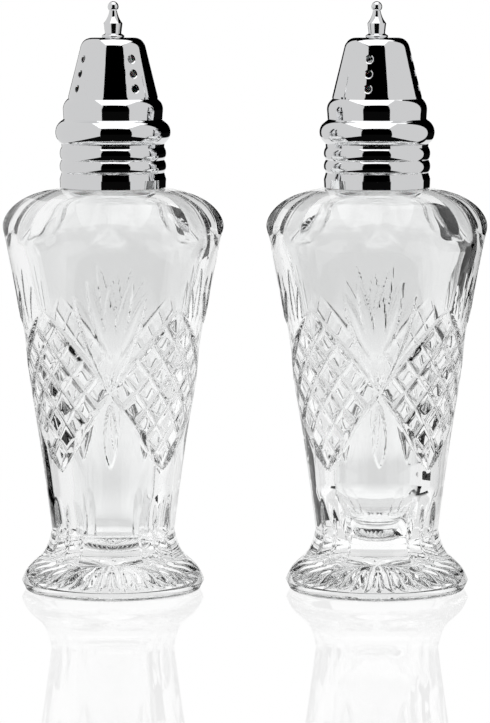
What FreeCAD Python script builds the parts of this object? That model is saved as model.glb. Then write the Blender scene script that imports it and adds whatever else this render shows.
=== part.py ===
import FreeCAD, Part

# Salt and pepper shaker set: two tall pressed-crystal bottles with screw-on, chrome-plated metal caps.
# Frame: +Z up, -Y is the front, origin on the table midway between the two bottles. Millimetres.
# Each shaker is six pieces: bottle, lip seal, threaded insert, cap shell, finial and finial washer.

import math
import os

V = FreeCAD.Vector
UP = V(0, 0, 1)
CENTRE = V(0, 0, 0)

# ---- The set ----
AXIS_SPACING = 63.0             # between the two bottles' axes
CAP_TURN = {"salt": 33.0, "pepper": -14.0}   # a column of sprinkle holes, in degrees right of the front

# ---- Bottle, outside: radius and height of each point that its outline needs ----
FOOT_BEARING_R = 20.9
FOOT_RIM = (21.7, 2.0)
FOOT_FLARE = ((20.5, 4.5), (16.7, 8.4))
WAIST = (14.6, 14.1)
WALL = ((17.2, 33.0), (20.0, 50.5), (22.7, 67.5))
SHOULDER_BREAK = (25.9, 84.0)
SHOULDER = ((26.4, 87.0), (24.5, 90.6), (21.0, 93.2))
SHOULDER_TOP = (12.6, 95.4)
FACETS = 8
FACET_STEP = 360.0 / FACETS
FACET_WIDTH = 30.0              # of a facet cutter, wider than any facet
SIDES = 4                       # the pressed pattern repeats every quarter turn
FACET_INSET = math.cos(math.radians(FACET_STEP / 2))   # mid-facet radius over ridge radius
LAND_INSET = 0.25               # leaves a narrow round land between two shoulder facets, at their foot
# Down the middle of a facet: each curve starts and ends outside the round wall, so it runs out in a scallop.
SHOULDER_FACET = ((26.6, 78.6), (25.6, 82.3), (SHOULDER[0][0] * FACET_INSET + LAND_INSET, 87.0),
                  (SHOULDER[1][0] * FACET_INSET, 90.6), (19.2, 93.2), (14.4, 95.0), (11.6, 95.6))
FLUTE_ROUND = 7.5               # radius of a flute across its length
FLUTE = ((19.2, 6.6), (16.2, 8.5), (14.95, 10.2), (14.15, 14.1), (14.5, 18.2), (15.1, 20.8), (16.4, 24.6))
FLUTE_TURNS = (27.5 + 8.75, 45.0 + 8.75)     # from the middle of each side, in degrees

# ---- Bottle, underside ----
RECESS_R = 16.8
RECESS_DEPTH = 0.9
STAR_RAYS = 16
STAR_R = 16.2
STAR_DEPTH = 1.1                # of each ray, above the recess
STAR_HALF_WIDTH = 1.1

# ---- Bottle, cavity and neck ----
# The glass is thick, and the two plungers stopped at different depths.
CAVITY_FLOOR = {"salt": ((0.0, 8.4), (6.2, 8.8), (8.3, 10.8), (8.9, 15.5)),
                "pepper": ((0.0, 10.8), (3.2, 11.2), (5.6, 14.2), (7.6, 18.2))}
CAVITY_WALL = ((9.3, 22.5), (9.9, 30.0), (11.1, 38.0), (14.1, 50.5), (18.2, 67.5), (20.9, 80.0))
CAVITY_SHOULDER = ((21.1, 85.8), (17.7, 90.3))
BORE_R = 7.2
BORE_LOW = 93.5
NECK_R = 9.7
LIP_Z = 107.0
LIP_ROUND = 0.7
LIP_ROUND_DIAGONAL = LIP_ROUND * (1 - math.sqrt(0.5))   # from the lip's square corner to mid-round, on each axis

# ---- Thread: a round-bottle thread, right-handed, moulded on the neck and inside the insert ----
LEAD = 3.0
RUNNING_GAP = 0.15
THREAD_HEIGHT = 0.75
NECK_THREAD_LOW = 97.9
NECK_THREAD_TURNS = 1.6
INSERT_THREAD_TURNS = 1.5
THREAD_ROOT_WIDTH = 1.4
THREAD_CREST_WIDTH = 0.6
THREAD_BITE = 0.25              # how far a thread's root runs into the wall that carries it

# ---- Threaded insert and seal ----
INSERT_BORE_R = NECK_R + THREAD_HEIGHT + RUNNING_GAP
INSERT_R = 11.75
INSERT_LOW = 96.2
INSERT_RIB_R = 12.6
INSERT_RIB_LOW = 107.4
INSERT_CEILING = 107.9
INSERT_TOP = 109.4
INSERT_PASSAGE_R = 7.8
INSERT_CHAMFER = 0.5
SEAL_R = 10.3
SEAL_BORE_R = 7.5
SEAL_GAP = 0.04
SEAL_LOW = LIP_Z + SEAL_GAP
SEAL_TOP = INSERT_CEILING - SEAL_GAP

# ---- Cap shell: a pressing of even thickness ----
SHEET = 0.5
SKIRT_LOW = 95.6
SKIRT_R = 12.65
RIB_PEAK_R = 12.75
RIB_VALLEY_R = 12.3
RIB_PITCH = 3.05
FIRST_RIB_Z = 97.6
RIBS = 3
BEAD = ((12.35, 106.0), (13.8, 108.9), (12.2, 111.6))
DRUM = ((11.85, 111.9), (12.0, 114.0), (11.6, 115.8), (10.75, 116.8))
CONE_LOW = (10.73, 117.3)
CONE_SLOPE = math.radians(13.9)  # the cone's side, from upright
CROWN_ROUND = 2.9               # from the cone into the flat crown, tangent to both
CROWN_Z = 131.4
CONE_HIGH_Z = CROWN_Z - CROWN_ROUND * (1 - math.sin(CONE_SLOPE))
CONE_HIGH = (CONE_LOW[0] - (CONE_HIGH_Z - CONE_LOW[1]) * math.tan(CONE_SLOPE), CONE_HIGH_Z)
CROWN_EDGE_R = CONE_HIGH[0] - CROWN_ROUND * math.cos(CONE_SLOPE)
CROWN_MIDDLE = (math.pi / 2 + CONE_SLOPE) / 2   # direction of the round's middle, above level
HOLE_R = 0.85
HOLE_FLARE = 0.2                # depth of the hole's broken edge
HOLE_FLARE_WIDTH = 0.3
DRILL_REACH = 2.0               # inwards from the surface, past the sheet
HOLE_COLUMNS = 4
HOLE_ROWS = (119.35, 122.85, 126.35)

# ---- Finial, staked through the crown over a washer ----
SPIGOT_R = 1.2
SPIGOT_GAP = 0.03
WASHER_R = 3.2
WASHER_THICK = 0.6
STAKED_R = 1.8
STAKED_THICK = 0.5
STAKED_ROUND = (1.35, 0.3)      # radius, and depth below the washer, midway round the staked head
FLANGE = ((2.6, 131.4), (2.7, 131.7), (2.5, 131.95))
FINIAL_DRUM = ((1.95, 132.3), (2.1, 133.5), (2.25, 134.75))
CONE_MID = (1.4, 136.1)
BALL_NECK_R = 0.9
BALL_R = 1.3
TOP_Z = 140.0
BALL_Z = TOP_Z - BALL_R


def rz(point):
    """A point of an outline: (radius, height) in the plane of X and Z."""
    return V(point[0], 0, point[1])


def line(a, b):
    return Part.LineSegment(rz(a), rz(b)).toShape()


def arc(a, middle, b):
    return Part.Arc(rz(a), rz(middle), rz(b)).toShape()


def spline(points):
    curve = Part.BSplineCurve()
    curve.interpolate([rz(p) for p in points])
    return curve.toShape()


def polyline(points):
    return [line(a, b) for a, b in zip(points, points[1:])]


def revolve(edges):
    """A solid of revolution about Z from the edges of a closed outline."""
    wire = Part.Wire(Part.__sortEdges__(edges))
    return Part.Solid(Part.Face(wire).revolve(CENTRE, UP, 360))


def turned(shape, degrees):
    copy = shape.copy()
    copy.rotate(CENTRE, UP, degrees)
    return copy


def ring_of(shape, count, first=0.0):
    return [turned(shape, first + k * 360.0 / count) for k in range(count)]


def thread_ridge(radius, outwards, low, turns):
    """A helical ridge standing outwards, or inwards, from a cylinder of the given radius."""
    side = 1 if outwards else -1
    root = radius - side * THREAD_BITE
    crest = radius + side * THREAD_HEIGHT
    half_root = THREAD_ROOT_WIDTH / 2
    half_crest = THREAD_CREST_WIDTH / 2
    corners = [(root, low - half_root), (crest, low - half_crest), (crest, low + half_crest),
               (root, low + half_root), (root, low - half_root)]
    section = Part.Wire(polyline(corners))
    path = Part.Wire(Part.makeHelix(LEAD, LEAD * turns, radius))
    path.translate(V(0, 0, low))
    return path.makePipeShell([section], True, True)


def facet_cutter(facet_curve):
    """Takes away what lies outside a curve of (radius, height), straight across one facet."""
    curve = spline(facet_curve)
    far = 2 * SHOULDER[0][0]
    first, last = facet_curve[0], facet_curve[-1]
    outside = [line(last, (far, last[1])), line((far, last[1]), (far, first[1])), line((far, first[1]), first)]
    face = Part.Face(Part.Wire(Part.__sortEdges__([curve] + outside)))
    face.translate(V(0, -FACET_WIDTH / 2, 0))
    return face.extrude(V(0, FACET_WIDTH, 0))


def flute():
    """A round bar bent along the deepest line of a flute, in the plane of X and Z."""
    path = spline(FLUTE)
    start = path.tangentAt(path.FirstParameter)
    across = V(-start.z, 0, start.x)
    if across.x < 0:
        across = -across
    section = Part.Wire(Part.makeCircle(FLUTE_ROUND, rz(FLUTE[0]) + across * FLUTE_ROUND, start))
    return Part.Wire(path).makePipeShell([section], True, False)


def bottle(floor):
    foot = [line((0, 0), (FOOT_BEARING_R, 0)), line((FOOT_BEARING_R, 0), FOOT_RIM),
            spline([FOOT_RIM, *FOOT_FLARE, WAIST])]
    wall = [spline([WAIST, *WALL, SHOULDER_BREAK]), spline([SHOULDER_BREAK, *SHOULDER, SHOULDER_TOP])]
    lip_side = (NECK_R, LIP_Z - LIP_ROUND)
    lip_flat = (NECK_R - LIP_ROUND, LIP_Z)
    lip_middle = (NECK_R - LIP_ROUND_DIAGONAL, LIP_Z - LIP_ROUND_DIAGONAL)
    neck = [line(SHOULDER_TOP, (NECK_R, SHOULDER_TOP[1])), line((NECK_R, SHOULDER_TOP[1]), lip_side),
            arc(lip_side, lip_middle, lip_flat), line(lip_flat, (0, LIP_Z)), line((0, LIP_Z), (0, 0))]
    body = revolve(foot + wall + neck)

    body = body.cut(ring_of(facet_cutter(SHOULDER_FACET), FACETS, FACET_STEP / 2))
    scoop = flute()
    for turn in FLUTE_TURNS:
        body = body.cut(ring_of(scoop, SIDES, turn))
    recess = Part.makeCylinder(RECESS_R, RECESS_DEPTH)
    body = body.cut([recess] + star_rays())
    body = body.fuse(thread_ridge(NECK_R, True, NECK_THREAD_LOW, NECK_THREAD_TURNS))
    return body.cut(cavity(floor))


def star_rays():
    """The rayed star in the foot's underside: V grooves through the centre."""
    roof = RECESS_DEPTH + STAR_DEPTH
    corners = [V(-STAR_R, -STAR_HALF_WIDTH, 0), V(-STAR_R, STAR_HALF_WIDTH, 0), V(-STAR_R, 0, roof)]
    corners.append(corners[0])
    ray = Part.Face(Part.makePolygon(corners)).extrude(V(2 * STAR_R, 0, 0))
    return ring_of(ray, STAR_RAYS)[: STAR_RAYS // 2]


def cavity(floor):
    floor_curve = spline([*floor, *CAVITY_WALL])
    shoulder = spline([CAVITY_WALL[-1], *CAVITY_SHOULDER, (BORE_R, BORE_LOW)])
    lip_side = (BORE_R, LIP_Z - LIP_ROUND)
    lip_flat = (BORE_R + LIP_ROUND, LIP_Z)
    lip_middle = (BORE_R + LIP_ROUND_DIAGONAL, LIP_Z - LIP_ROUND_DIAGONAL)
    mouth = [line((BORE_R, BORE_LOW), lip_side), arc(lip_side, lip_middle, lip_flat),
             line(lip_flat, (0, LIP_Z)), line((0, LIP_Z), floor[0])]
    return revolve([floor_curve, shoulder] + mouth)


def lip_seal():
    outer = Part.makeCylinder(SEAL_R, SEAL_TOP - SEAL_LOW, V(0, 0, SEAL_LOW))
    inner = Part.makeCylinder(SEAL_BORE_R, SEAL_TOP - SEAL_LOW, V(0, 0, SEAL_LOW))
    return outer.cut(inner)


def thread_insert():
    outline = [(INSERT_BORE_R, INSERT_LOW), (INSERT_R - INSERT_CHAMFER, INSERT_LOW),
               (INSERT_R, INSERT_LOW + INSERT_CHAMFER), (INSERT_R, INSERT_RIB_LOW - INSERT_CHAMFER),
               (INSERT_RIB_R, INSERT_RIB_LOW), (INSERT_RIB_R, INSERT_TOP - INSERT_CHAMFER),
               (INSERT_RIB_R - INSERT_CHAMFER, INSERT_TOP), (INSERT_PASSAGE_R, INSERT_TOP),
               (INSERT_PASSAGE_R, INSERT_CEILING), (INSERT_BORE_R, INSERT_CEILING)]
    sleeve = revolve(polyline(outline + outline[:1]))
    low = NECK_THREAD_LOW + LEAD / 2
    return sleeve.fuse(thread_ridge(INSERT_BORE_R, False, low, INSERT_THREAD_TURNS))


def cap_shell(hole_turn):
    edges = [line((SKIRT_R, SKIRT_LOW), (RIB_PEAK_R, FIRST_RIB_Z))]
    valley_z = FIRST_RIB_Z + RIB_PITCH / 2
    edges.append(line((RIB_PEAK_R, FIRST_RIB_Z), (RIB_VALLEY_R, valley_z)))
    for _ in range(RIBS - 1):
        edges.append(arc((RIB_VALLEY_R, valley_z), (RIB_PEAK_R, valley_z + RIB_PITCH / 2),
                         (RIB_VALLEY_R, valley_z + RIB_PITCH)))
        valley_z += RIB_PITCH
    crown_middle = (CROWN_EDGE_R + CROWN_ROUND * math.cos(CROWN_MIDDLE),
                    CROWN_Z - CROWN_ROUND * (1 - math.sin(CROWN_MIDDLE)))
    edges += [line((RIB_VALLEY_R, valley_z), BEAD[0]), arc(*BEAD), line(BEAD[2], DRUM[0]),
              line(DRUM[0], DRUM[1]), arc(*DRUM[1:]), line(DRUM[3], CONE_LOW), line(CONE_LOW, CONE_HIGH),
              arc(CONE_HIGH, crown_middle, (CROWN_EDGE_R, CROWN_Z)),
              line((CROWN_EDGE_R, CROWN_Z), (SPIGOT_R + SPIGOT_GAP, CROWN_Z))]
    outside = Part.Wire(edges)
    section = outside.makeOffset2D(SHEET, 0, True, True)
    shell = Part.Solid(section.revolve(CENTRE, UP, 360))
    return shell.cut(sprinkle_holes(hole_turn))


def sprinkle_holes(hole_turn):
    """Drills square to the cone, in columns; each hole's outer edge is broken by a flare."""
    out = V(math.cos(CONE_SLOPE), 0, math.sin(CONE_SLOPE))
    drills = []
    for z in HOLE_ROWS:
        share = (z - CONE_LOW[1]) / (CONE_HIGH[1] - CONE_LOW[1])
        at = rz((CONE_LOW[0] + share * (CONE_HIGH[0] - CONE_LOW[0]), z))
        drill = Part.makeCylinder(HOLE_R, 2 * DRILL_REACH, at - out * DRILL_REACH, out)
        flare = Part.makeCone(HOLE_R, HOLE_R + 3 * HOLE_FLARE_WIDTH, 3 * HOLE_FLARE, at - out * HOLE_FLARE, out)
        drills.append(drill.fuse(flare))
    columns = []
    for drill in drills:
        columns += ring_of(drill, HOLE_COLUMNS, hole_turn - 90)
    return columns


def finial():
    washer_low = CROWN_Z - SHEET - WASHER_THICK
    staked_low = washer_low - STAKED_THICK
    staked_middle = (STAKED_ROUND[0], washer_low - STAKED_ROUND[1])
    ball_neck = (BALL_NECK_R, BALL_Z - math.sqrt(BALL_R ** 2 - BALL_NECK_R ** 2))
    edges = [arc((0, staked_low), staked_middle, (STAKED_R, washer_low)),
             *polyline([(STAKED_R, washer_low), (SPIGOT_R, washer_low), (SPIGOT_R, CROWN_Z), FLANGE[0]]),
             arc(*FLANGE), line(FLANGE[2], FINIAL_DRUM[0]), arc(*FINIAL_DRUM),
             spline([FINIAL_DRUM[2], CONE_MID, ball_neck]),
             arc(ball_neck, (BALL_R, BALL_Z), (0, TOP_Z)),
             line((0, TOP_Z), (0, staked_low))]
    return revolve(edges)


def finial_washer():
    low = CROWN_Z - SHEET - WASHER_THICK
    disc = Part.makeCylinder(WASHER_R, WASHER_THICK, V(0, 0, low))
    return disc.cut(Part.makeCylinder(SPIGOT_R + SPIGOT_GAP, WASHER_THICK, V(0, 0, low)))


def write(shape, name):
    assert shape.isValid(), name
    shape.exportStep("parts/" + name + ".step")
    print(name, len(shape.Solids), "solid(s)", round(shape.Volume, 1), "mm3")


def main():
    os.makedirs("parts", exist_ok=True)
    shared = {"lip_seal": lip_seal(), "thread_insert": thread_insert(), "finial": finial(),
              "finial_washer": finial_washer()}
    for shaker, side in (("salt", -1), ("pepper", 1)):
        place = V(side * AXIS_SPACING / 2, 0, 0)
        pieces = dict(shared, bottle=bottle(CAVITY_FLOOR[shaker]), cap_shell=cap_shell(CAP_TURN[shaker]))
        for piece, shape in pieces.items():
            write(shape.translated(place), shaker + "_" + piece)


main()
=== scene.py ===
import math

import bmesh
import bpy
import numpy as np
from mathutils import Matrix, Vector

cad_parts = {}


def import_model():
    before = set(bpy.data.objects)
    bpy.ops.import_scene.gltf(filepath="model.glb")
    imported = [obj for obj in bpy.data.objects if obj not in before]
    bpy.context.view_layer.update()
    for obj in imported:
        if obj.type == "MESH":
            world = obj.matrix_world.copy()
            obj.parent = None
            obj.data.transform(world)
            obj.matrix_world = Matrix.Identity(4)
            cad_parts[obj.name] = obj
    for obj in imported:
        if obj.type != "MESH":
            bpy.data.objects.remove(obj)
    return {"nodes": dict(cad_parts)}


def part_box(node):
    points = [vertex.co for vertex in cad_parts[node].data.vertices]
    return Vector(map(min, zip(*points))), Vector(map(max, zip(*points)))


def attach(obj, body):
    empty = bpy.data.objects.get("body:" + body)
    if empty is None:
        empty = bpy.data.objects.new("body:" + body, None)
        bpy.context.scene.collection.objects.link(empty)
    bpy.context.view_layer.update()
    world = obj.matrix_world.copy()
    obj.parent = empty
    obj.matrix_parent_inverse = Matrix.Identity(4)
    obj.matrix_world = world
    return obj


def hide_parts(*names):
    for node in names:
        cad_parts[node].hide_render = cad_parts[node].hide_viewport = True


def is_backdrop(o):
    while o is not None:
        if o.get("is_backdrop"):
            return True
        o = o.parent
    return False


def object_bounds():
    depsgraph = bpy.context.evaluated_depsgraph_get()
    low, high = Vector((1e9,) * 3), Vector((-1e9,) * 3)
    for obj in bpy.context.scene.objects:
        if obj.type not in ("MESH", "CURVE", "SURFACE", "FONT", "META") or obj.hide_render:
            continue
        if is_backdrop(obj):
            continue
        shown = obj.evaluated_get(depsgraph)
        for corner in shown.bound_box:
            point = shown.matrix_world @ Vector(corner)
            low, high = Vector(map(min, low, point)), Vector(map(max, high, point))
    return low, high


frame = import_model()
cad_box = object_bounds()

# Two cut-crystal shakers with chrome caps, lit as bright-field glass on a white table.
# The caps and what they hold come from the CAD model. The bottles are built here, in millimetres, as one
# closed mesh each: rings of points round the axis, each pressed in where a facet or a cut lowers the wall.
# The stage is a table, light panels that turn with the camera, and a white dome that the table reflects.

MM = 0.001
FRONT = -90.0                   # azimuth of the front, in degrees from +X

# ---- Bottle blank: radius and height ----
FOOT_BEARING_R = 20.9
FOOT_ROUND = 0.5                # round the outside of the bearing ring
FOOT_RIM = (21.7, 2.0)
FOOT_FLARE = ((20.5, 4.5), (16.7, 8.4))
WAIST = (14.6, 14.1)
WALL = ((17.2, 33.0), (20.0, 50.5), (22.7, 67.5))
SHOULDER_BREAK = (25.9, 84.0)
SHOULDER = ((26.4, 87.0), (24.5, 90.6), (21.0, 93.2))
SHOULDER_TOP = (12.6, 95.4)
NECK_R = 9.7
NECK_LOW = SHOULDER_TOP[1] + 0.3
LIP_Z = 107.0
LIP_ROUND = 0.7
RECESS_R = 16.8
RECESS_DEPTH = 0.9
CAVITY_WALL = ((9.3, 22.5), (9.9, 30.0), (11.1, 38.0), (14.1, 50.5), (18.2, 67.5), (20.9, 80.0))
CAVITY_SHOULDER = ((21.1, 85.8), (17.7, 90.3))
CAVITY_FLOOR = {"salt": ((0.0, 8.4), (6.2, 8.8), (8.3, 10.8), (8.9, 15.5)),
                "pepper": ((0.0, 10.8), (3.2, 11.2), (5.6, 14.2), (7.6, 18.2))}
BORE_R = 7.2                    # inside the neck
BORE_LOW = 93.5

# ---- Mesh ----
COLUMNS = 480                   # round the axis
FIELD_ROWS = 60                 # up half a diamond field, so that hatching runs through the mesh's corners
ROWS_ABOVE = 32                 # the same rows go on above the fields, for the leaves' tips
COARSE_STEP = 0.6
FINE_STEP = 0.4
INSIDE_STEP = 1.4
CURVE_STEP = 0.1                # between the points that a curve is worked out at
ARC_STEPS = 5                   # along a small rounding
CENTRE_RING_R = 0.5             # the smallest ring under the foot
CREASE_ANGLE = 32.0             # between faces, above which an edge is drawn sharp

# ---- Neck thread ----
LEAD = 3.0
THREAD_LOW = 97.9
THREAD_TURNS = 1.6
THREAD_HEIGHT = 0.75
THREAD_HALF_WIDTH = 0.8
THREAD_FLAT = 1.25              # its section is a parabola this much higher, cut off flat
THREAD_RUN_OUT = 14             # its ends rise over one part in this many of a turn
THREAD_STEP = 0.2               # between the neck's rings

# ---- Eight facets at the shoulder and eight flutes at the waist: their deepest lines, radius and height ----
FACETS = 8
FACET_INSET = math.cos(math.pi / FACETS)
LAND_INSET = 0.25
SHOULDER_FACET = ((26.6, 78.6), (25.6, 82.3), (SHOULDER[0][0] * FACET_INSET + LAND_INSET, 87.0),
                  (SHOULDER[1][0] * FACET_INSET, 90.6), (19.2, 93.2), (14.4, 95.0), (11.6, 95.6))
RIDGE_ROUND = 0.7               # where two facets meet
FLUTE = ((19.2, 6.6), (16.2, 8.5), (14.95, 10.2), (14.15, 14.1), (14.5, 18.2), (15.1, 20.8), (16.4, 24.6))
FLUTE_TURNS = (36.25, 53.75)    # in each quarter turn
FLUTE_ROUND = 7.5               # radius across its length
FLUTE_EDGE = 0.08               # rounding along its sides
NOWHERE = 99.0                  # a radius outside everything, above and below a facet or flute
CREASE = (7.7, 0.13, 0.45)      # round the top of the foot: height, depth, half-width

# ---- Cuts in the wall ----
QUARTER = 90.0                  # the cuts repeat every quarter turn
CROSS_Z = 48.5                  # where the arms cross, in the middle of each side
FIELD_HALF = 19.2               # from there up or down to a diamond field's corner
FIELD_TURN = 45.0               # and sideways, in degrees
DIAMONDS = 5                    # along each side of a field
CUT_ROUND = 0.16                # rounding at the bottom of a cut
LEAF_ROUND = 0.3                # and of a leaf
EDGE_ROUND = 0.12               # where cuts meet each other or the wall
NO_CUT = -0.6                   # the depth that all cuts start from
HATCH_SLOPE = 40.0              # slopes are those of a cut's two sides, in degrees from the wall
HATCH_DEPTH = 0.52
HATCH_RUN_OUT = 1.2             # how fast a line of the hatching gets shallower past its ends
ARM_UP_SLOPE = 42.0
ARM_UP = (0.8, 0.55)            # greatest depth, and where along its length
ARM_DOWN_SLOPE = 62.0
ARM_DOWN = (1.7, 0.74)
LEAF_SLOPE = 31.0               # a leaf is as wide as a V of this slope, with steeper sides and a flat floor
LEAF_STEEPER = 2.2
LEAF_FLOOR = 0.42
# Each leaf: turn and height of its inner end, then of its tip; its depth
LEAVES = (((0.0, 50.0), (0.0, 74.0), 0.75), ((0.8, 50.5), (12.8, 76.0), 0.7),
          ((2.2, 50.0), (21.5, 72.0), 0.8), ((0.0, 45.8), (0.0, 30.5), 0.8))
LEAF_DEEPEST = 0.58             # where along its length
# Each short mark round the waist: turn, lower and upper end, depth
MARKS = ((27.5, 8.6, 15.4, 0.85), (44.2, 7.6, 18.2, 0.9))
MARK_SLOPE = 68.0
MARK_DEEPEST = 0.5

# ---- Star under the foot ----
STAR_RAYS = 16
STAR_R = 16.2
STAR_DEPTH = 1.1
STAR_SLOPE = 42.0
STAR_SHORT_R = 4.5              # where the short rays between the long ones start
STAR_SHORT_DEPTH = 0.9
STAR_MARGIN = 0.1               # between the rays and the recess's wall


# ---------------------------------------------------------------- outline

def spline(points, step):
    """A natural cubic through points, by chord length, sampled about every step."""
    p = np.array(points, float)
    t = np.concatenate([[0], np.cumsum(np.linalg.norm(np.diff(p, axis=0), axis=1))])
    h = np.diff(t)
    n = len(p)
    a = np.eye(n)
    b = np.zeros((n, 2))
    for i in range(1, n - 1):
        a[i, i - 1:i + 2] = h[i - 1], 2 * (h[i - 1] + h[i]), h[i]
        b[i] = 6 * ((p[i + 1] - p[i]) / h[i] - (p[i] - p[i - 1]) / h[i - 1])
    m = np.linalg.solve(a, b)
    s = np.linspace(0, t[-1], max(2, round(t[-1] / step) + 1))
    k = np.clip(np.searchsorted(t, s, side="right") - 1, 0, n - 2)
    hk = h[k][:, None]
    u = (s - t[k])[:, None]
    v = hk - u
    return ((m[k] * v ** 3 + m[k + 1] * u ** 3) / (6 * hk) + (p[k] / hk - m[k] * hk / 6) * v
            + (p[k + 1] / hk - m[k + 1] * hk / 6) * u)


def straight(a, b, step=None):
    """A line from a to b, with points between about every step."""
    a, b = np.array(a, float), np.array(b, float)
    n = 1 if step is None else max(1, round(np.linalg.norm(b - a) / step))
    return a + (b - a) * np.linspace(0, 1, n + 1)[:, None]


def rounding(centre, radius, first, last):
    """An arc between two angles in degrees."""
    g = np.radians(np.linspace(first, last, ARC_STEPS + 1))
    return np.array(centre) + radius * np.stack([np.cos(g), np.sin(g)], axis=1)


def chain(*runs):
    """One outline from runs that follow each other, without the doubled points where they meet."""
    rows = [runs[0]]
    for run in runs[1:]:
        rows.append(run[1:])
    return np.vstack(rows)


WALL_CURVE = chain(spline([FOOT_RIM, *FOOT_FLARE, WAIST], CURVE_STEP),
                   spline([WAIST, *WALL, SHOULDER_BREAK], CURVE_STEP),
                   spline([SHOULDER_BREAK, *SHOULDER, SHOULDER_TOP], CURVE_STEP))


def wall_rows():
    """Heights of the mesh's rows on the outside, from the foot's rim to the shoulder's top."""
    along = np.concatenate([[0], np.cumsum(np.linalg.norm(np.diff(WALL_CURVE, axis=0), axis=1))])
    heights = WALL_CURVE[:, 1]
    row = FIELD_HALF / FIELD_ROWS
    field_low = CROSS_Z - FIELD_HALF
    field_high = CROSS_Z + FIELD_HALF + ROWS_ABOVE * row

    def zone(low, high, step):
        s = np.interp([low, high], heights, along)
        return np.interp(np.linspace(s[0], s[1], max(2, round((s[1] - s[0]) / step) + 1)), along, heights)

    return np.concatenate([zone(heights[0], WAIST[1], FINE_STEP)[:-1],
                           zone(WAIST[1], field_low, COARSE_STEP)[:-1],
                           np.arange(field_low, field_high - row / 2, row),
                           zone(field_high, heights[-1], FINE_STEP)])


# ---------------------------------------------------------------- facets and cuts

def softer_min(a, b, reach):
    """The smaller of a and b, rounded off where they are within reach of each other."""
    share = np.clip(0.5 + 0.5 * (b - a) / reach, 0, 1)
    return b * (1 - share) + a * share - reach * share * (1 - share)


def softer_max(a, b, reach):
    return -softer_min(-a, -b, reach)


def from_middle(turn, count):
    """Angle in degrees to the middle of the nearest of count equal sectors, where one ends at the front."""
    wide = 360 / count
    return (turn / wide) % 1 * wide - wide / 2


def faceted(r, turn, z, curve):
    """The radius after flats whose distance from the axis is the curve's radius at each height."""
    run = spline(curve, CURVE_STEP)
    off = from_middle(turn, FACETS)
    flat = np.interp(z, run[:, 1], run[:, 0], left=NOWHERE, right=NOWHERE) / np.cos(np.radians(off))
    return softer_min(r, flat, RIDGE_ROUND)


def fluted(r, turn, z):
    """The radius after the flutes, each round across and bent to its deepest line."""
    run = spline(FLUTE, CURVE_STEP)
    deepest = np.interp(z, run[:, 1], run[:, 0], left=NOWHERE, right=NOWHERE)
    for middle in FLUTE_TURNS:
        off = np.radians((turn - middle + QUARTER / 2) % QUARTER - QUARTER / 2)
        aside = np.clip(np.abs(r * np.sin(off)), 0, 0.9 * FLUTE_ROUND)
        scoop = (deepest + FLUTE_ROUND - np.sqrt(FLUTE_ROUND ** 2 - aside ** 2)) / np.cos(off)
        r = softer_min(r, scoop, FLUTE_EDGE)
    return r


def v_cut(turn, z, r, start, end, depth, slope, bottom=CUT_ROUND):
    """Depth of a V cut between two points, each (turn, height). depth gives its deepest line."""
    run_t, run_z = end[0] - start[0], end[1] - start[1]
    scale = np.radians(r)
    du, dz = (turn - start[0]) * scale, z - start[1]
    along_u, along_z = run_t * scale, run_z
    length = np.hypot(along_u, along_z)
    share = (du * along_u + dz * along_z) / length ** 2
    aside = (du * along_z - dz * along_u) / length
    aside = np.sqrt(aside ** 2 + bottom ** 2) - bottom
    return depth(share, length) - aside * math.tan(math.radians(slope))


def leaf(deepest, at):
    """Depth along a leaf: nothing at both ends, deepest at a share of its length."""
    def depth(share, length):
        t = np.where(share < at, share / at, (1 - share) / (1 - at))
        return np.where(t > -0.5, deepest * (1 - (1 - t) ** 2), NO_CUT)
    return depth


def even(deepest):
    """Depth of a cut that runs out steeply at both ends."""
    def depth(share, length):
        return deepest - np.maximum(0, np.maximum(-share, share - 1) * length) * HATCH_RUN_OUT
    return depth


def cuts(turn, z, r):
    """How deep the cuts go at each point of the wall."""
    half = FIELD_TURN
    t = np.abs((turn + half) % QUARTER - half)          # each side is the same left and right of its middle
    deep = np.full(np.broadcast(t, z).shape, NO_CUT)
    cross, corner_up, corner_down = (0, CROSS_Z), (half, CROSS_Z + FIELD_HALF), (half, CROSS_Z - FIELD_HALF)
    for i in range(1, DIAMONDS):
        share = i / DIAMONDS
        rising = ((half * share, CROSS_Z - FIELD_HALF * share),
                  (half * (1 + share), CROSS_Z + FIELD_HALF * (1 - share)))
        falling = ((half * share, CROSS_Z + FIELD_HALF * share),
                   (half * (1 + share), CROSS_Z - FIELD_HALF * (1 - share)))
        for start, end in (rising, falling):
            deep = softer_max(deep, v_cut(t, z, r, start, end, even(HATCH_DEPTH), HATCH_SLOPE), EDGE_ROUND)
    for inner, tip, depth in LEAVES:
        upright = inner[0] == 0 and tip[0] == 0
        for hand in (1,) if upright else (-1, 1):
            line = v_cut(t, z, r, (hand * inner[0], inner[1]), (hand * tip[0], tip[1]),
                         leaf(depth, LEAF_DEEPEST), LEAF_SLOPE, LEAF_ROUND)
            deep = softer_max(deep, softer_min(LEAF_STEEPER * line, LEAF_FLOOR, EDGE_ROUND), EDGE_ROUND)
    for at, low, high, depth in MARKS:
        mark = v_cut(t, z, r, (at, low), (at, high), leaf(depth, MARK_DEEPEST), MARK_SLOPE)
        deep = softer_max(deep, mark, EDGE_ROUND)
    deep = softer_max(deep, v_cut(t, z, r, cross, corner_up, leaf(*ARM_UP), ARM_UP_SLOPE), EDGE_ROUND)
    deep = softer_max(deep, v_cut(t, z, r, cross, corner_down, leaf(*ARM_DOWN), ARM_DOWN_SLOPE), EDGE_ROUND)
    return softer_max(deep, 0, EDGE_ROUND)


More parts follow.
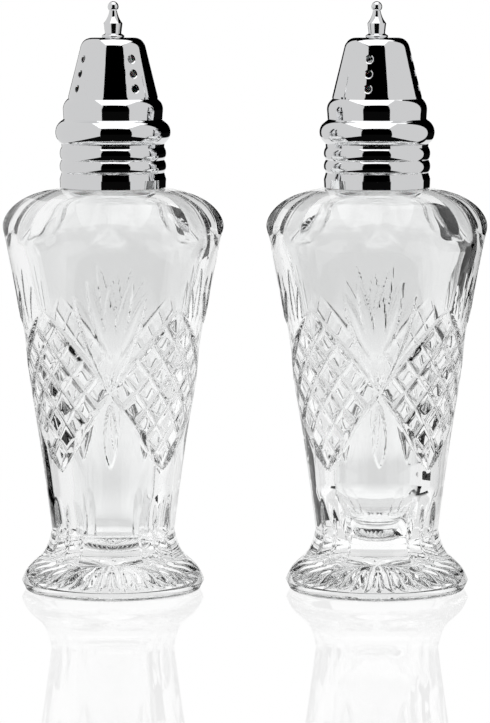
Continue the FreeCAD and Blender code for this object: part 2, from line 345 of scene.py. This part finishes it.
def outside(turn, z):
    """Radius of the finished outside at each turn and height."""
    r = np.interp(z, WALL_CURVE[:, 1], WALL_CURVE[:, 0]) + 0 * turn
    r = faceted(r, turn, z, SHOULDER_FACET)
    r = fluted(r, turn, z)
    at, deepest, half = CREASE
    r = r - deepest * np.clip(1 - np.abs(z - at) / half, 0, 1)
    return r - cuts(turn, z, r)


def star(turn, r):
    """How high the star's rays are pressed into the underside."""
    out = np.clip(r / STAR_R, 0, 1)
    short = np.clip((r - STAR_SHORT_R) / (STAR_R - STAR_SHORT_R), 0, 1)
    rise = 0 * turn
    for first, deepest in ((0, STAR_DEPTH * (1 - out ** 4)),
                           (180 / STAR_RAYS, STAR_SHORT_DEPTH * 4 * short * (1 - short))):
        aside = np.abs(r * np.sin(np.radians(from_middle(turn + first, STAR_RAYS))))
        aside = np.sqrt(aside ** 2 + CUT_ROUND ** 2) - CUT_ROUND
        rise = softer_max(rise, deepest - aside * math.tan(math.radians(STAR_SLOPE)), EDGE_ROUND)
    return rise * (r < RECESS_R - STAR_MARGIN)


def thread_rise(turn, z):
    """How far the neck's thread stands out: a rounded ridge on a helix that starts at +X."""
    rise = np.zeros(np.broadcast(turn, z).shape)
    for lap in range(2):
        turns = ((turn + FRONT) / 360) % 1 + lap
        off = (z - THREAD_LOW - LEAD * turns) / THREAD_HALF_WIDTH
        from_end = np.minimum(turns, THREAD_TURNS - turns)
        ends = np.clip(from_end * THREAD_RUN_OUT, 0, 1)
        ridge = np.clip(THREAD_FLAT - THREAD_FLAT * off ** 2, 0, 1)
        rise = np.maximum(rise, ends * THREAD_HEIGHT * ridge)
    return rise


# ---------------------------------------------------------------- bottle mesh

def rings(outline, count):
    """Turn, radius and height of count points round the axis at each point of an outline."""
    turn = np.arange(count) * 360 / count
    return (np.broadcast_to(turn, (len(outline), count)), np.repeat(outline[:, :1], count, axis=1),
            np.repeat(outline[:, 1:], count, axis=1))


def bottle_rings(kind):
    """The bottle's surface as rings from under the foot, up outside, over the lip and down inside."""
    top = LIP_Z - LIP_ROUND
    turn, r, z = rings(straight((CENTRE_RING_R, RECESS_DEPTH), (RECESS_R, RECESS_DEPTH), FINE_STEP), COLUMNS)
    yield turn, r, z + star(turn, r)
    flat_end = FOOT_BEARING_R - FOOT_ROUND
    yield rings(chain(straight((RECESS_R, 0), (flat_end, 0)),
                      rounding((flat_end, FOOT_ROUND), FOOT_ROUND, -90, -10)), COLUMNS)
    turn, r, z = rings(np.stack([0 * wall_rows(), wall_rows()], axis=1), COLUMNS)
    yield turn, outside(turn, z), z
    turn, r, z = rings(chain(straight((NECK_R, NECK_LOW), (NECK_R, top), THREAD_STEP),
                             rounding((NECK_R - LIP_ROUND, top), LIP_ROUND, 0, 90)), COLUMNS)
    yield turn, r + np.where(r > NECK_R - 0.01, thread_rise(turn, z), 0), z
    floor = CAVITY_FLOOR[kind]
    yield rings(chain(rounding((BORE_R + LIP_ROUND, top), LIP_ROUND, 90, 180),
                      straight((BORE_R, top), (BORE_R, BORE_LOW), INSIDE_STEP),
                      spline([CAVITY_WALL[-1], *CAVITY_SHOULDER, (BORE_R, BORE_LOW)], INSIDE_STEP)[::-1],
                      spline([*floor, *CAVITY_WALL], INSIDE_STEP)[::-1])[:-1], COLUMNS // 2)


def new_object(name, points, faces):
    mesh = bpy.data.meshes.new(name)
    mesh.from_pydata([tuple(p) for p in points], [], faces)
    item = bpy.data.objects.new(name, mesh)
    bpy.context.scene.collection.objects.link(item)
    return item


def crystal(kind):
    """One bottle as a closed mesh, in millimetres, standing on the origin."""
    points, faces, rows = [], [], []
    total = 0
    for turn, r, z in bottle_rings(kind):
        angle = np.radians(turn + FRONT)
        points.append(np.stack([r * np.cos(angle), r * np.sin(angle), z], axis=-1).reshape(-1, 3))
        for i in range(len(turn)):
            rows.append((total, turn.shape[1]))
            total += turn.shape[1]
    for (a, wide), (b, narrow) in zip(rows, rows[1:]):
        if wide == narrow:
            faces += [(a + j, a + (j + 1) % wide, b + (j + 1) % wide, b + j) for j in range(wide)]
            continue
        for j in range(narrow):
            left, middle, right = a + 2 * j, a + 2 * j + 1, a + (2 * j + 2) % wide
            here, after = b + j, b + (j + 1) % narrow
            faces += [(left, middle, here), (middle, after, here), (middle, right, after)]
    low, high = total, total + 1
    points.append([[0, 0, RECESS_DEPTH + STAR_DEPTH], [0, 0, CAVITY_FLOOR[kind][0][1]]])
    first, (last, narrow) = rows[0], rows[-1]
    faces += [(low, (j + 1) % first[1], j) for j in range(first[1])]
    faces += [(high, last + j, last + (j + 1) % narrow) for j in range(narrow)]
    item = new_object(kind + "_crystal", np.vstack(points), faces)
    item.data.transform(Matrix.Scale(MM, 4))
    return item


# ---------------------------------------------------------------- materials

class Nodes:
    """A short way to build a material's node tree."""

    def __init__(self, name):
        self.material = bpy.data.materials.new(name)
        self.material.use_nodes = True
        self.tree = self.material.node_tree
        self.tree.nodes.clear()
        self.out = self.tree.nodes.new("ShaderNodeOutputMaterial")

    def add(self, kind, inputs=None, **settings):
        node = self.tree.nodes.new("ShaderNode" + kind)
        for key, value in settings.items():
            setattr(node, key, value)
        for key, value in (inputs or {}).items():
            self.set(node, key, value)
        return node

    def set(self, node, key, value):
        socket = node.inputs[key]
        if isinstance(value, bpy.types.NodeSocket):
            self.tree.links.new(value, socket)
        else:
            socket.default_value = value

    def place(self, item=None):
        """Coordinates of the object itself, or of another one, in metres."""
        node = self.add("TexCoord")
        node.object = item
        return node.outputs["Object"]

    def noise(self, scale, detail=2.0, rough=0.5, stretch=None):
        where = self.place()
        if stretch:
            where = self.add("Mapping", {"Vector": where, "Scale": stretch}).outputs[0]
        node = self.add("TexNoise", {"Vector": where, "Scale": scale, "Detail": detail, "Roughness": rough})
        return node.outputs["Fac"]

    def ramp(self, value, low, high, first, last):
        """Maps value from low..high to first..last, clamped."""
        node = self.add("MapRange", {"Value": value, "From Min": low, "From Max": high, "To Min": first,
                                     "To Max": last})
        return node.outputs[0]

    def calc(self, operation, a, b=0.0):
        return self.add("Math", {0: a, 1: b}, operation=operation).outputs[0]

    def blend(self, share, a, b):
        node = self.add("Mix", {0: share, 6: a, 7: b}, data_type="RGBA")
        return node.outputs[2]

    def bump(self, height, distance, under=None):
        node = self.add("Bump", {"Height": height, "Distance": distance})
        if under is not None:
            self.set(node, "Normal", under)
        return node.outputs[0]

    def surface(self, shader):
        self.tree.links.new(shader.outputs[0], self.out.inputs["Surface"])
        return self.material


def crystal_material():
    """Clear glass, a shade darker here and there, with the slow waves and faint haze of pressed glass."""
    n = Nodes("crystal")
    waves = n.bump(n.noise(55, 1.0), 0.00012)
    tint = n.blend(n.noise(20), (0.968, 0.972, 0.972, 1), (0.985, 0.99, 0.99, 1))
    shader = n.add("BsdfPrincipled", {
        "Base Color": tint, "Transmission Weight": 1.0, "IOR": 1.53,
        "Roughness": n.ramp(n.noise(400, 3.0), 0.35, 0.75, 0.0, 0.02), "Normal": waves})
    return n.surface(shader)


def chrome_material(name):
    """Polished plating: upright hairline scratches, a slight orange peel and patches of wear."""
    n = Nodes(name)
    scratches = n.noise(900, 2.0, 0.6, (1, 1, 0.08))
    orange_peel = n.bump(n.noise(260, 1.0), 0.00001)
    rough = n.ramp(n.noise(70, 4.0, 0.6), 0.35, 0.75, 0.025, 0.06)
    shader = n.add("BsdfPrincipled", {
        "Base Color": (0.87, 0.875, 0.885, 1), "Metallic": 1.0, "Roughness": rough,
        "Normal": n.bump(scratches, 0.000002, orange_peel)})
    return n.surface(shader)


def plastic_material(name, colour, shade, rough, soft):
    """Moulded plastic: a slight colour drift, a fine grain and light passing a little way in."""
    n = Nodes(name)
    grain = n.bump(n.noise(2500, 3.0, 0.6), 0.00002)
    shader = n.add("BsdfPrincipled", {
        "Base Color": n.blend(n.noise(90, 3.0), colour, shade),
        "Roughness": n.ramp(n.noise(600, 2.0), 0.3, 0.7, rough - 0.06, rough + 0.06),
        "Subsurface Weight": soft, "Subsurface Scale": 0.002, "Normal": grain})
    return n.surface(shader)


def steel_material():
    """Brushed steel: its tone, roughness and relief all follow the same streaks."""
    n = Nodes("washer_steel")
    brushed = n.noise(1800, 3.0, 0.6, (1, 0.04, 1))
    shader = n.add("BsdfPrincipled", {
        "Base Color": n.blend(brushed, (0.5, 0.5, 0.51, 1), (0.68, 0.68, 0.69, 1)), "Metallic": 1.0,
        "Roughness": n.ramp(brushed, 0.3, 0.7, 0.22, 0.4), "Normal": n.bump(brushed, 0.000008)})
    return n.surface(shader)


# ---------------------------------------------------------------- bottles

def smooth(mesh, angle):
    mesh.shade_smooth()
    mesh.set_sharp_from_angle(angle=math.radians(angle))


def bottles():
    glass = crystal_material()
    for kind in ("salt", "pepper"):
        low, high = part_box(kind + "_bottle")
        piece = crystal(kind)
        smooth(piece.data, CREASE_ANGLE)
        piece.data.materials.append(glass)
        piece.location = ((low.x + high.x) / 2, (low.y + high.y) / 2, low.z)
        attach(piece, kind + "_shaker")
        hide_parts(kind + "_bottle")


def finish_caps():
    """Materials for what carries over from the CAD model."""
    finish = {
        "cap_shell": chrome_material("plated_cap"),
        "finial": chrome_material("plated_finial"),
        "thread_insert": plastic_material("insert_plastic", (0.8, 0.8, 0.78, 1), (0.72, 0.72, 0.7, 1),
                                          0.42, 0.3),
        "lip_seal": plastic_material("seal_plastic", (0.78, 0.78, 0.76, 1), (0.66, 0.66, 0.64, 1),
                                     0.55, 0.2),
        "finial_washer": steel_material(),
    }
    for kind in ("salt", "pepper"):
        for part, material in finish.items():
            node = frame["nodes"][f"{kind}_{part}"]
            node.data.materials.clear()
            node.data.materials.append(material)
            smooth(node.data, CREASE_ANGLE)


# ---------------------------------------------------------------- stage, light and camera

CAMERA_DISTANCE = 0.91
CAMERA_HEIGHT = 0.152
AIM_HEIGHT = 0.0539             # what the shifted lens puts in the middle of the picture
LENS = 189.6
SENSOR = 36.0
CLIP_NEAR = 0.01
CLIP_FAR = 20.0
SHIFT_REACH = 0.0001            # how far the camera may be from its place and keep the shift
WORLD_LIGHT = 0.01              # to everything but the camera

# The table is white to the camera, but gives the set light from its lit part only. Places on it are in metres
# from the set's middle, +X to the camera's right and +Y away from it. A pair of places is a soft edge, from
# where it starts to where it is complete.
TABLE_HALF = 3.0
TABLE_GAP = -0.00005            # its height, just clear of the feet
TABLE_SHINE = 0.16
TABLE_ROUGH = 0.02
SKY_R = 4.5                     # beyond the table's corners
DARK = 0.003                    # the table's light outside the lit part
LIT_ASIDE = (0.1, 0.085)        # to either side, and lit further in
LIT_WIDENS = (0.1, 0.15, 0.115)     # going back between the first two places, it widens by the third
LIT_FROM = {"Glossy": (-0.02, 0.03), "Transmission": (-0.12, -0.08)}    # its front edge, to each kind of ray
LIT_LEVEL = {"Glossy": (0.84, 0.84), "Transmission": (1.08, 0.84)}      # its light near and far
LIT_NEAR_FAR = (0.08, 0.42)
PAINTED_SHADE_STRIP = ((0.022, 0.03), (0.058, 0.068))  # front and back edge of a strip of painted shade on the table just behind the shakers, seen through the crystal only
SHAKER_X = 0.0315               # of a shaker's axis
SHADE_R = (0.0175, 0.0215)      # from there, the edge of the shade under the front of a foot
SHADE_Y = (-0.009, 0.001)       # and where it ends behind
SHADE_LEVEL = 0.05

# Light panels: two corners in plan, bottom, top, strength seen in the metal and the crystal's surface, and
# strength seen through the crystal below and above the fading heights
FADE_HEIGHTS = (0.07, 0.17)
PANELS = {
    "right": ((0.152, -0.227), (0.127, 0.042), 0.02, 0.36, 0.68, None),
    "left": ((-0.169, -0.309), (-0.108, 0.207), 0.02, 0.36, 0.68, None),
    "right_through": ((0.152, -0.227), (0.127, 0.042), 0.015, 0.07, None, (0.95, 0.95)),
    "left_through": ((-0.169, -0.309), (-0.108, 0.207), 0.005, 0.07, None, (0.95, 0.95)),
    "left_high": ((-0.132, 0.0), (-0.108, 0.207), 0.07, 0.25, None, (0.95, 0.95)),
    "right_low": ((0.127, 0.042), (0.185, 0.3), 0.0, 0.024, None, (0.95, 0.95)),
    "right_lower": ((0.112, 0.03), (0.15, 0.25), 0.0, 0.012, None, (0.95, 0.95)),
    "back": ((-0.085, 0.42), (0.085, 0.42), 0.0, 0.205, 1.0, None),
    "back_wide": ((-0.25, 0.42), (0.25, 0.42), 0.0, 0.205, None, (0.84, 0.98)),
    "back_high_left": ((-0.5, 0.42), (-0.12, 0.42), 0.205, 0.7, None, (0.98, 0.98)),
    "back_high_right": ((0.12, 0.42), (0.5, 0.42), 0.205, 0.7, None, (0.98, 0.98)),
}
OVERHEAD = (-0.3, 0.3, -0.45, 0.24, 0.59, 1.3)    # x and y limits, height, strength either way


def light_material(name, strength, through=None):
    """White light, with a pair of other strengths to what sees it through the crystal."""
    n = Nodes(name)
    level = strength
    if through is not None:
        height = n.add("SeparateXYZ", {"Vector": n.place()}).outputs["Z"]
        fading = n.ramp(height, *FADE_HEIGHTS, *through)
        glass = n.add("LightPath").outputs["Is Transmission Ray"]
        level = n.add("Mix", {0: glass, 2: strength, 3: fading}).outputs[0]
    return n.surface(n.add("Emission", {"Color": (1, 1, 1, 1), "Strength": level}))


def panel(name, corners, seen, through, rig):
    """A light that the camera doesn't see, and that is seen reflected, through the crystal or both."""
    item = new_object(name, corners, [(0, 1, 2, 3)])
    item.data.materials.append(light_material(name, seen or 0.0, through or (0.0, 0.0)))
    item.visible_camera = False
    item.visible_glossy = item.visible_diffuse = seen is not None
    item.visible_transmission = through is not None
    item.parent = rig
    item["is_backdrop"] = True


def light_rig(camera):
    """An empty in the middle that turns with the camera, so that every side is lit as the front is."""
    rig = bpy.data.objects.new("rig", None)
    bpy.context.scene.collection.objects.link(rig)
    follow = rig.constraints.new("LOCKED_TRACK")
    follow.target = camera
    follow.track_axis = "TRACK_NEGATIVE_Y"
    follow.lock_axis = "LOCK_Z"
    for name, (a, b, low, high, seen, through) in PANELS.items():
        panel("panel_" + name, [(*a, low), (*b, low), (*b, high), (*a, high)], seen, through, rig)
    x0, x1, y0, y1, z, strength = OVERHEAD
    corners = [(x0, y0, z), (x1, y0, z), (x1, y1, z), (x0, y1, z)]
    panel("panel_overhead", corners, strength, (strength, strength), rig)
    return rig


def lit_across(n, x, y):
    """Share of the table's light by how far to the side a point is: the lit part widens going back."""
    start, end, gain = LIT_WIDENS
    aside = n.calc("SUBTRACT", n.calc("ABSOLUTE", x), n.ramp(y, start, end, 0.0, gain))
    return n.ramp(aside, *LIT_ASIDE, 0.0, 1.0)


def foot_shade(n, y):
    """Share of the table's light that the shade under the front of each foot leaves."""
    own = n.add("SeparateXYZ", {"Vector": n.place()})
    beside = n.calc("SUBTRACT", n.calc("ABSOLUTE", own.outputs["X"]), SHAKER_X)
    off = n.add("CombineXYZ", {0: beside, 1: own.outputs["Y"]}).outputs[0]
    off = n.add("VectorMath", {0: off}, operation="LENGTH").outputs["Value"]
    return n.calc("MAXIMUM", n.ramp(off, *SHADE_R, SHADE_LEVEL, 1.0), n.ramp(y, *SHADE_Y, 0.0, 1.0))


def table_light(n, rig, seen):
    """Strength of the table's own light: even to the camera, and from the lit part only to the set."""
    place = n.add("SeparateXYZ", {"Vector": n.place(rig)})
    y = place.outputs["Y"]
    across = n.calc("MULTIPLY", lit_across(n, place.outputs["X"], y), foot_shade(n, y))
    # A strip of painted shade on the table just behind the shakers, standing in for the shade they cast there
    front, back = PAINTED_SHADE_STRIP
    off_painted_shade = n.calc("MAXIMUM", n.ramp(y, *front, 1.0, 0.0), n.ramp(y, *back, 0.0, 1.0))
    path = n.add("LightPath")
    level = n.calc("MULTIPLY", seen, 1.0 - TABLE_SHINE)
    for ray, edge in LIT_FROM.items():
        along = n.ramp(y, *edge, 0.0, 1.0)
        if ray == "Transmission":
            # Only rays through the crystal see the painted shade strip darken the table
            along = n.calc("MULTIPLY", along, off_painted_shade)
        tone = n.ramp(y, *LIT_NEAR_FAR, *LIT_LEVEL[ray])
        lit = n.ramp(n.calc("MULTIPLY", across, along), 0.0, 1.0, DARK, tone)
        level = n.calc("MAXIMUM", level, n.calc("MULTIPLY", lit, path.outputs[f"Is {ray} Ray"]))
    return level


def table(rig):
    """A glossy table, whose gloss only the camera sees."""
    corners = [(x * TABLE_HALF, y * TABLE_HALF, 0) for x, y in ((-1, -1), (1, -1), (1, 1), (-1, 1))]
    item = new_object("table", corners, [(0, 1, 2, 3)])
    item.location.z = TABLE_GAP
    n = Nodes("table")
    seen = n.add("LightPath").outputs["Is Camera Ray"]
    glow = n.add("Emission", {"Strength": table_light(n, rig, seen)})
    shine = n.calc("MULTIPLY", seen, TABLE_SHINE)
    grey = n.add("CombineColor", {0: shine, 1: shine, 2: shine}).outputs[0]
    gloss = n.add("BsdfGlossy", {"Color": grey, "Roughness": TABLE_ROUGH})
    item.data.materials.append(n.surface(n.add("AddShader", {0: glow.outputs[0], 1: gloss.outputs[0]})))
    item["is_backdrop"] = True
    return item


def reflected_sky(receiver):
    """A white dome that only the table reflects, so that the table stays white all over."""
    mesh = bpy.data.meshes.new("sky")
    edit = bmesh.new()
    bmesh.ops.create_icosphere(edit, subdivisions=3, radius=SKY_R)
    edit.to_mesh(mesh)
    edit.free()
    sky = bpy.data.objects.new("sky", mesh)
    bpy.context.scene.collection.objects.link(sky)
    mesh.materials.append(light_material("sky", 1.0))
    sky.visible_camera = False
    sky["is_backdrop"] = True
    receivers = bpy.data.collections.new("receivers")
    receivers.objects.link(receiver)
    sky.light_linking.receiver_collection = receivers


def world():
    """White where the camera looks past everything, and almost dark to everything else."""
    sky = bpy.data.worlds.new("world")
    bpy.context.scene.world = sky
    sky.use_nodes = True
    tree = sky.node_tree
    tree.nodes.clear()
    path = tree.nodes.new("ShaderNodeLightPath")
    level = tree.nodes.new("ShaderNodeMapRange")
    level.inputs["To Min"].default_value = WORLD_LIGHT
    level.inputs["To Max"].default_value = 1.0
    back = tree.nodes.new("ShaderNodeBackground")
    back.inputs["Color"].default_value = (1, 1, 1, 1)
    out = tree.nodes.new("ShaderNodeOutputWorld")
    tree.links.new(path.outputs["Is Camera Ray"], level.inputs["Value"])
    tree.links.new(level.outputs[0], back.inputs["Strength"])
    tree.links.new(back.outputs[0], out.inputs["Surface"])


def camera():
    """A level camera whose lens is shifted down, so that uprights stay upright in the picture."""
    data = bpy.data.cameras.new("camera")
    data.lens = LENS
    data.sensor_width = SENSOR
    item = bpy.data.objects.new("camera", data)
    bpy.context.scene.collection.objects.link(item)
    item.location = (0, -CAMERA_DISTANCE, CAMERA_HEIGHT)
    item.rotation_euler = (math.pi / 2, 0, 0)
    data.clip_start = CLIP_NEAR
    data.clip_end = CLIP_FAR
    # The shift holds only at this place: a camera moved elsewhere is aimed by turning it
    fall = (CAMERA_HEIGHT - AIM_HEIGHT) / CAMERA_DISTANCE * LENS / SENSOR
    lens = data.driver_add("shift_y").driver
    place = lens.variables.new()
    place.name = "depth"
    place.type = "TRANSFORMS"
    place.targets[0].id = item
    place.targets[0].transform_type = "LOC_Y"
    lens.expression = f"{-fall:.6f} if abs(depth + {CAMERA_DISTANCE}) < {SHIFT_REACH} else 0"
    bpy.context.scene.camera = item
    return item


def render_settings():
    scene = bpy.context.scene
    scene.view_settings.view_transform = "Standard"
    scene.view_settings.look = "None"
    scene.cycles.max_bounces = 32
    scene.cycles.transmission_bounces = 32
    scene.cycles.glossy_bounces = 12
    scene.cycles.transparent_max_bounces = 16
    scene.cycles.sample_clamp_indirect = 6.0
    scene.cycles.use_denoising = True


bottles()
finish_caps()
rig = light_rig(camera())
reflected_sky(table(rig))
world()
render_settings()

[[list(corner) for corner in box] for box in (cad_box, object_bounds())]
